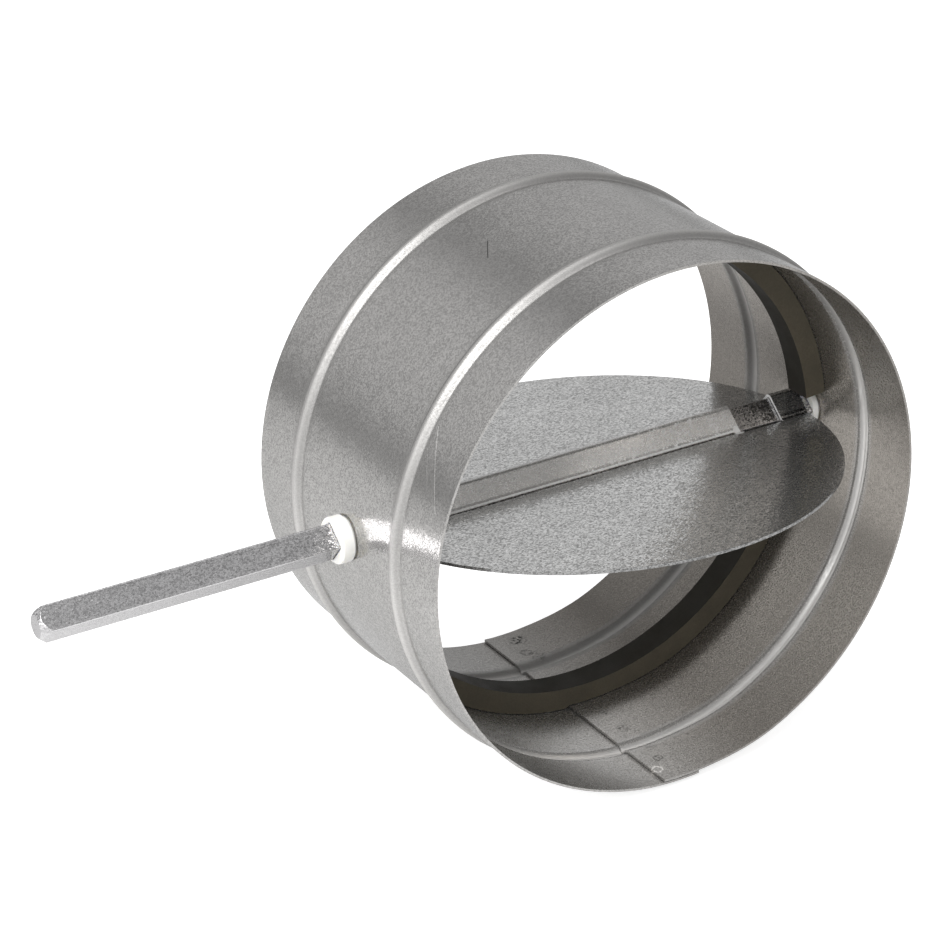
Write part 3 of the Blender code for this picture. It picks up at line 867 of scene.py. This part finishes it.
def use_tree(item, tree, values):
    """Put a geometry tree on an object, with its inputs set by their identifiers."""
    modifier = item.modifiers.new(tree.name, "NODES")
    modifier.node_group = tree
    for socket in tree.interface.items_tree:
        if socket.item_type == "SOCKET" and socket.in_out == "INPUT" and socket.name in values:
            modifier[socket.identifier] = values[socket.name]


def spaced(start, end, steps):
    """Evenly spaced values from start to just short of end."""
    return [start + (end - start) * step / steps for step in range(steps)]


def blank_stations(casing):
    """Where the flat blank has points across its width, close together at the beads."""
    reach = casing.run / 2
    near = casing.bead_place - casing.bead_width / 2
    far = casing.bead_place + casing.bead_width / 2
    half = []
    for start, end, steps in zip((0.0, near, far), (near, far, reach), BLANK_ROWS):
        half += spaced(start, end, steps)
    half.append(reach)
    return [-value for value in reversed(half[1:])] + half


def make_blank(casing):
    """The casing's flat sheet as an object, with its length and width as UVs in metres."""
    stations = blank_stations(casing)
    rows = len(stations) - 1
    long = math.tau * (casing.diameter - casing.sheet) / 2 + casing.lap_width
    form = bmesh.new()
    layer = form.loops.layers.uv.new("sheet")
    bmesh.ops.create_grid(form, x_segments=BLANK_COLUMNS, y_segments=rows, size=0.5)
    for vert in form.verts:
        vert.co = ((vert.co.x + 0.5) * long, stations[round((vert.co.y + 0.5) * rows)], 0.0)
    for face in form.faces:
        for loop in face.loops:
            loop[layer].uv = (loop.vert.co.x, loop.vert.co.y)
    bmesh.ops.reverse_faces(form, faces=form.faces)
    return object_from("casing_sheet", form)


class DAMPER_OT_casing(bpy.types.Operator):
    """Roll the beaded casing and pierce it for the shaft"""

    bl_idname = "damper.casing"
    bl_label = "Casing"

    def execute(self, context):
        """Make the casing."""
        casing = context.scene.damper_casing
        zinc = zinc_finish(
            "casing_zinc", casing.colour, casing.roughness, 0.12, 2700.0,
            (1.0, 1.0, 1.0), 0.36, 0.07, casing_marks, casing.inner,
        )
        sheet = make_blank(casing)
        use_tree(sheet, rolling_tree(), {
            "Sheet Radius": (casing.diameter - casing.sheet) / 2,
            "Bead Place": casing.bead_place,
            "Bead Width": casing.bead_width,
            "Bead Height": casing.bead_height,
            "Lap Step": casing.sheet + casing.lap_gap,
            "Lap Level": casing.lap_width + casing.sheet,
            "Run-out": casing.run_out,
            "Start Angle": casing.lap_angle,
            "Dent Depth": casing.dent,
            "Material": zinc,
        })
        wall_modifier(sheet, casing.sheet)
        across = Matrix.Rotation(math.pi / 2, 4, "Y")
        reach = casing.diameter * 1.3
        holes = cylinder_object("shaft_holes", casing.hole, reach, HOLE_STEPS, across)
        cut(sheet, holes)
        eased(sheet, 0.12 * MM, 60)
        dress(settle(sheet, (holes,)), zinc, CASING_BODY, "casing")
        return {"FINISHED"}


# Blade


def pressed_half(blade, slit_end):
    """Half of the blade's middle line across the shaft: (y, rise) pairs, crest to flat."""
    foot = blade_foot(blade)
    points = []
    for step in range(BEND_STEPS + 1):
        swing = math.pi / 4 * step / BEND_STEPS
        rise = blade.rise - blade.bend * (math.sqrt(2) - math.cos(swing))
        points.append((blade.bend * math.sin(swing), rise))
    for step in range(BEND_STEPS + 1):
        swing = math.pi / 4 * (1 - step / BEND_STEPS)
        rise = blade.bend * (1 - math.cos(swing))
        points.append((foot - blade.bend * math.sin(swing), rise))
    return points + [(slit_end, 0.0)]


def mirrored(row):
    """A row of (distance, value) pairs on both sides of zero, in order."""
    return sorted(row + [(-distance, value) for distance, value in row if distance > 0])


def make_pressing(blade):
    """The blade's square blank, pressed over the shaft and under it in turn."""
    width = blade.radius * 1.1
    slit_end = blade_foot(blade) + blade.slit
    across = mirrored(pressed_half(blade, slit_end) + [(width, 0.0)])
    along = mirrored([
        (blade.ridge, 1), (blade.ridge + blade.slit, -1),
        (blade.strap - blade.slit, -1), (blade.strap, 1), (width, 1),
    ])
    columns = len(along) - 1
    rows = len(across) - 1
    form = bmesh.new()
    bmesh.ops.create_grid(form, x_segments=columns, y_segments=rows, size=0.5)
    sides = {}
    for vert in form.verts:
        x, side = along[round((vert.co.x + 0.5) * columns)]
        y, rise = across[round((vert.co.y + 0.5) * rows)]
        vert.co = (x, y, side * rise)
        sides[vert] = side
    slits = []
    for face in form.faces:
        sheared = len({sides[vert] for vert in face.verts}) > 1
        if sheared and abs(face.calc_center_median().y) < slit_end:
            slits.append(face)
    bmesh.ops.delete(form, geom=slits, context="FACES")
    return object_from("blade_sheet", form)


class DAMPER_OT_blade(bpy.types.Operator):
    """Press the blade's ridge, windows and straps and trim it round"""

    bl_idname = "damper.blade"
    bl_label = "Blade"

    def execute(self, context):
        """Make the blade."""
        blade = context.scene.damper_blade
        zinc = zinc_finish(
            "blade_zinc", blade.colour, blade.roughness, 0.20, 3200.0,
            (0.65, 1.0, 1.0), 0.58, 0.08, blade_marks,
        )
        sheet = make_pressing(blade)
        wall_modifier(sheet, blade.sheet)
        disc = cylinder_object("blade_outline", blade.radius, 40 * MM, OUTLINE_STEPS)
        cut(sheet, disc, "INTERSECT")
        eased(sheet, 0.14 * MM, 50)
        sheet.matrix_world = blade_turn()
        disc.matrix_world = blade_turn()
        dress(settle(sheet, (disc,)), zinc, BLADE_BODY, "blade")
        return {"FINISHED"}


# Shaft


class DAMPER_OT_shaft(bpy.types.Operator):
    """Draw the square bar and turn its ends"""

    bl_idname = "damper.shaft"
    bl_label = "Shaft"

    def execute(self, context):
        """Make the shaft."""
        shaft = context.scene.damper_shaft
        plating = zinc_finish(
            "shaft_plating", shaft.colour, shaft.roughness, 0.20, 3000.0,
            (0.8, 1.0, 1.0), 0.68, 0.16, shaft_marks,
        )
        form = bar_form(shaft.side, -shaft.near_end, shaft.far_end, shaft.edge, 5)
        bar = object_from("shaft_bar", form)
        bar.matrix_world = blade_turn()
        full = shaft.side / math.sqrt(2)
        ease = shaft.edge * 2
        ends = turned_object("shaft_ends", [
            (0.0, shaft.near_end),
            (shaft.tip, shaft.near_end),
            (full, shaft.near_end - shaft.taper),
            (full, ease - shaft.far_end),
            (full - ease, -shaft.far_end),
            (0.0, -shaft.far_end),
        ])
        ends.rotation_euler = (0.0, -math.pi / 2, 0.0)
        cut(bar, ends, "INTERSECT")
        eased(bar, 0.1 * MM, 20)
        dress(settle(bar, (ends,)), plating, BLADE_BODY, "shaft")
        return {"FINISHED"}


# Bushes


class DAMPER_OT_bushes(bpy.types.Operator):
    """Turn the two bushes and cut their square bores"""

    bl_idname = "damper.bushes"
    bl_label = "Bushes"

    def execute(self, context):
        """Make both bushes."""
        bush = context.scene.damper_bush
        casing = context.scene.damper_casing
        nylon = nylon_finish("bush_nylon", bush.colour)
        outer = casing.diameter / 2
        wall = outer - casing.sheet
        face = outer + bush.standoff
        shoulder = outer + bush.gap
        seat = math.sqrt(wall ** 2 - bush.radius ** 2) - bush.gap
        for name, node, end in (("near_collar", "near_bush", -1), ("far_collar", "far_bush", 1)):
            collar = turned_object(name, [
                (0.0, face),
                (bush.radius - bush.bevel, face),
                (bush.radius, face - bush.bevel),
                (bush.radius, shoulder),
                (bush.neck, shoulder),
                (bush.neck, seat),
                (bush.radius, seat),
                (bush.radius - bush.lead, seat - bush.lip),
                (0.0, seat - bush.lip),
            ])
            collar.matrix_world = blade_turn() @ Matrix.Rotation(end * math.pi / 2, 4, "Y")
            reach = 100.0 * MM
            square = object_from("bore", bar_form(bush.bore, -reach, reach, bush.corner, 4))
            square.matrix_world = blade_turn()
            cut(collar, square)
            eased(collar, 0.12 * MM, 30)
            dress(settle(collar, (square,)), nylon, BLADE_BODY, node)
        return {"FINISHED"}


# Seals


def tuck_at(casing, along):
    """How far the casing's wall lies inside its full round, a length along from the lap."""
    share_out = (along - casing.lap_width - casing.sheet) / casing.run_out
    share_out = min(max(share_out, 0.0), 1.0)
    return (casing.sheet + casing.lap_gap) * (1 - share_out * share_out * (3 - 2 * share_out))


def strip_ring(casing, seal, half):
    """The strip's outline seen along the duct, as (x, z) points."""
    wall = casing.diameter / 2 - casing.sheet
    middle = wall + casing.sheet / 2
    inner = wall - seal.height
    start = math.asin(seal.end / inner)
    first = start if half > 0 else start - math.pi
    step = (math.pi - 2 * start) / STRIP_STEPS
    angles = [first + step * count for count in range(STRIP_STEPS + 1)]
    points = []
    for angle in angles:
        along = (angle - casing.lap_angle) * middle
        tuck = tuck_at(casing, along) if half < 0 and along > -seal.gap else 0.0
        points.append((wall - tuck - seal.gap, angle))
    points += [(inner, angle) for angle in reversed(angles)]
    return [(radius * math.cos(angle), radius * math.sin(angle)) for radius, angle in points]


class DAMPER_OT_seals(bpy.types.Operator):
    """Lay the two half rings of strip round the wall"""

    bl_idname = "damper.seals"
    bl_label = "Seals"

    def execute(self, context):
        """Make both seals."""
        seal = context.scene.damper_seal
        casing = context.scene.damper_casing
        rubber = rubber_finish("seal_rubber", seal.colour)
        face = context.scene.damper_blade.sheet / 2 + seal.gap
        strips = (("upper_strip", "upper_seal", 1), ("lower_strip", "lower_seal", -1))
        for name, node, half in strips:
            curve = bpy.data.curves.new(name, "CURVE")
            curve.dimensions = "2D"
            curve.fill_mode = "BOTH"
            curve.extrude = seal.width / 2
            outline = strip_ring(casing, seal, half)
            spline = curve.splines.new("POLY")
            spline.points.add(len(outline) - 1)
            for point, (x, z) in zip(spline.points, outline):
                point.co = (x, z, 0.0, 1.0)
            spline.use_cyclic_u = True
            flat = add_object(name, curve)
            flat.rotation_euler = (math.pi / 2, 0.0, 0.0)
            flat.location = (0.0, -half * (face + seal.width / 2), 0.0)
            strip = settle(flat)
            form = bmesh.new()
            form.from_mesh(strip.data)
            bmesh.ops.remove_doubles(form, verts=form.verts, dist=MERGE_WITHIN)
            form.to_mesh(strip.data)
            form.free()
            eased(strip, 0.35 * MM, 50, 3)
            dress(settle(strip), rubber, CASING_BODY, node)
        return {"FINISHED"}


# Studio


# Soft boxes: name, place, the point they face, width and height, watts.
SOFT_BOXES = (
    ("key_soft_box", (-0.95, -0.62, 1.1), (0.0, 0.0, 0.0), (1.7, 1.5), 18.0),
    ("key_soft_box_core", (-0.80, -0.29, 1.19), (0.0, 0.0, 0.0), (0.8, 0.8), 6.4),
    ("left_soft_box", (-1.5, -0.2, 0.3), (0.0, -0.1, 0.1), (1.9, 0.8), 3.6),
    ("overhead_soft_box", (0.05, 0.1, 1.7), (0.0, 0.0, 0.0), (1.1, 1.0), 3.8),
)
# Soft glows of the studio's walls: direction, cosine where the glow begins, strength.
SKY_GLOWS = (((-0.42, 0.78, 0.46), 0.85, 0.35), ((0.68, 0.70, 0.25), 0.7, 0.28))


def soft_box(name, place, target, size, power):
    """A rectangular soft light that faces a point."""
    data = bpy.data.lights.new(name, "AREA")
    data.shape = "RECTANGLE"
    data.size, data.size_y = size
    data.energy = power
    light = add_object(name, data)
    light.location = place
    facing = Vector(target) - Vector(place)
    light.rotation_euler = facing.to_track_quat("-Z", "Y").to_euler()
    light.visible_camera = False


class DAMPER_OT_studio(bpy.types.Operator):
    """Set the floor, the soft lights and the camera"""

    bl_idname = "damper.studio"
    bl_label = "Studio"

    def execute(self, context):
        """Make the studio."""
        stage = context.scene.damper_stage
        scene = context.scene
        form = bmesh.new()
        bmesh.ops.create_grid(form, x_segments=1, y_segments=1, size=6.0)
        height = cad_bounds[0][2] - FLOOR_DROP
        bmesh.ops.translate(form, vec=(0.0, 0.0, height), verts=form.verts)
        floor = object_from("studio_floor", form)
        floor.data.materials.append(floor_finish("light_table", stage.floor, stage.glow))

        world = bpy.data.worlds.new("studio_room")
        world.use_nodes = True
        graph = Graph(world.node_tree)
        background = world.node_tree.nodes["Background"]
        background.inputs["Color"].default_value = (1.0, 1.0, 1.0, 1.0)
        toward = graph.add("ShaderNodeTexCoord").outputs["Generated"]
        level = stage.sky
        for facing, inner, strength in SKY_GLOWS:
            aim = Vector(facing).normalized()
            beside = graph.measure("DOT_PRODUCT", toward, aim)
            glow = graph.spread(beside, inner, 1.0, 0.0, strength, "SMOOTHSTEP")
            level = graph.math("ADD", glow, level)
        graph.feed(background.inputs["Strength"], level)
        scene.world = world

        for box in SOFT_BOXES:
            soft_box(*box)

        data = bpy.data.cameras.new("camera")
        data.sensor_width = 36.0
        data.lens = stage.lens
        data.clip_start = 0.01
        data.clip_end = 50.0
        camera = add_object("camera", data)
        camera.location = stage.camera_place
        camera.rotation_euler = stage.camera_turn
        scene.camera = camera
        scene.view_settings.view_transform = "Standard"
        return {"FINISHED"}


# Panel and start


class DAMPER_PT_panel(bpy.types.Panel):
    """Sizes, colours and makers of the damper"""

    bl_idname = "DAMPER_PT_panel"
    bl_label = "Round Duct Damper"
    bl_space_type = "VIEW_3D"
    bl_region_type = "UI"
    bl_category = "Damper"

    def draw(self, context):
        """List each maker with its settings."""
        for name, group, operator in PARTS:
            box = self.layout.box()
            box.operator(operator.bl_idname)
            settings = getattr(context.scene, name)
            for setting in group.__annotations__:
                box.prop(settings, setting)


PARTS = (
    ("damper_casing", DAMPER_PG_casing, DAMPER_OT_casing),
    ("damper_blade", DAMPER_PG_blade, DAMPER_OT_blade),
    ("damper_shaft", DAMPER_PG_shaft, DAMPER_OT_shaft),
    ("damper_bush", DAMPER_PG_bush, DAMPER_OT_bushes),
    ("damper_seal", DAMPER_PG_seal, DAMPER_OT_seals),
    ("damper_stage", DAMPER_PG_stage, DAMPER_OT_studio),
)


def register():
    """Make the settings, the operators and the panel known."""
    for name, group, operator in PARTS:
        bpy.utils.register_class(group)
        setattr(bpy.types.Scene, name, PointerProperty(type=group))
        bpy.utils.register_class(operator)
    bpy.utils.register_class(DAMPER_PT_panel)


def unregister():
    """Undo what register did."""
    bpy.utils.unregister_class(DAMPER_PT_panel)
    for name, group, operator in reversed(PARTS):
        bpy.utils.unregister_class(operator)
        delattr(bpy.types.Scene, name)
        bpy.utils.unregister_class(group)


def plain(bounds):
    """Bounds as plain lists of numbers."""
    return [[float(number) for number in corner] for corner in bounds]


def main():
    """Make every piece in order."""
    register()
    bpy.ops.damper.casing()
    bpy.ops.damper.blade()
    bpy.ops.damper.shaft()
    bpy.ops.damper.bushes()
    bpy.ops.damper.seals()
    bpy.ops.damper.studio()


if __name__ == "__main__":
    main()
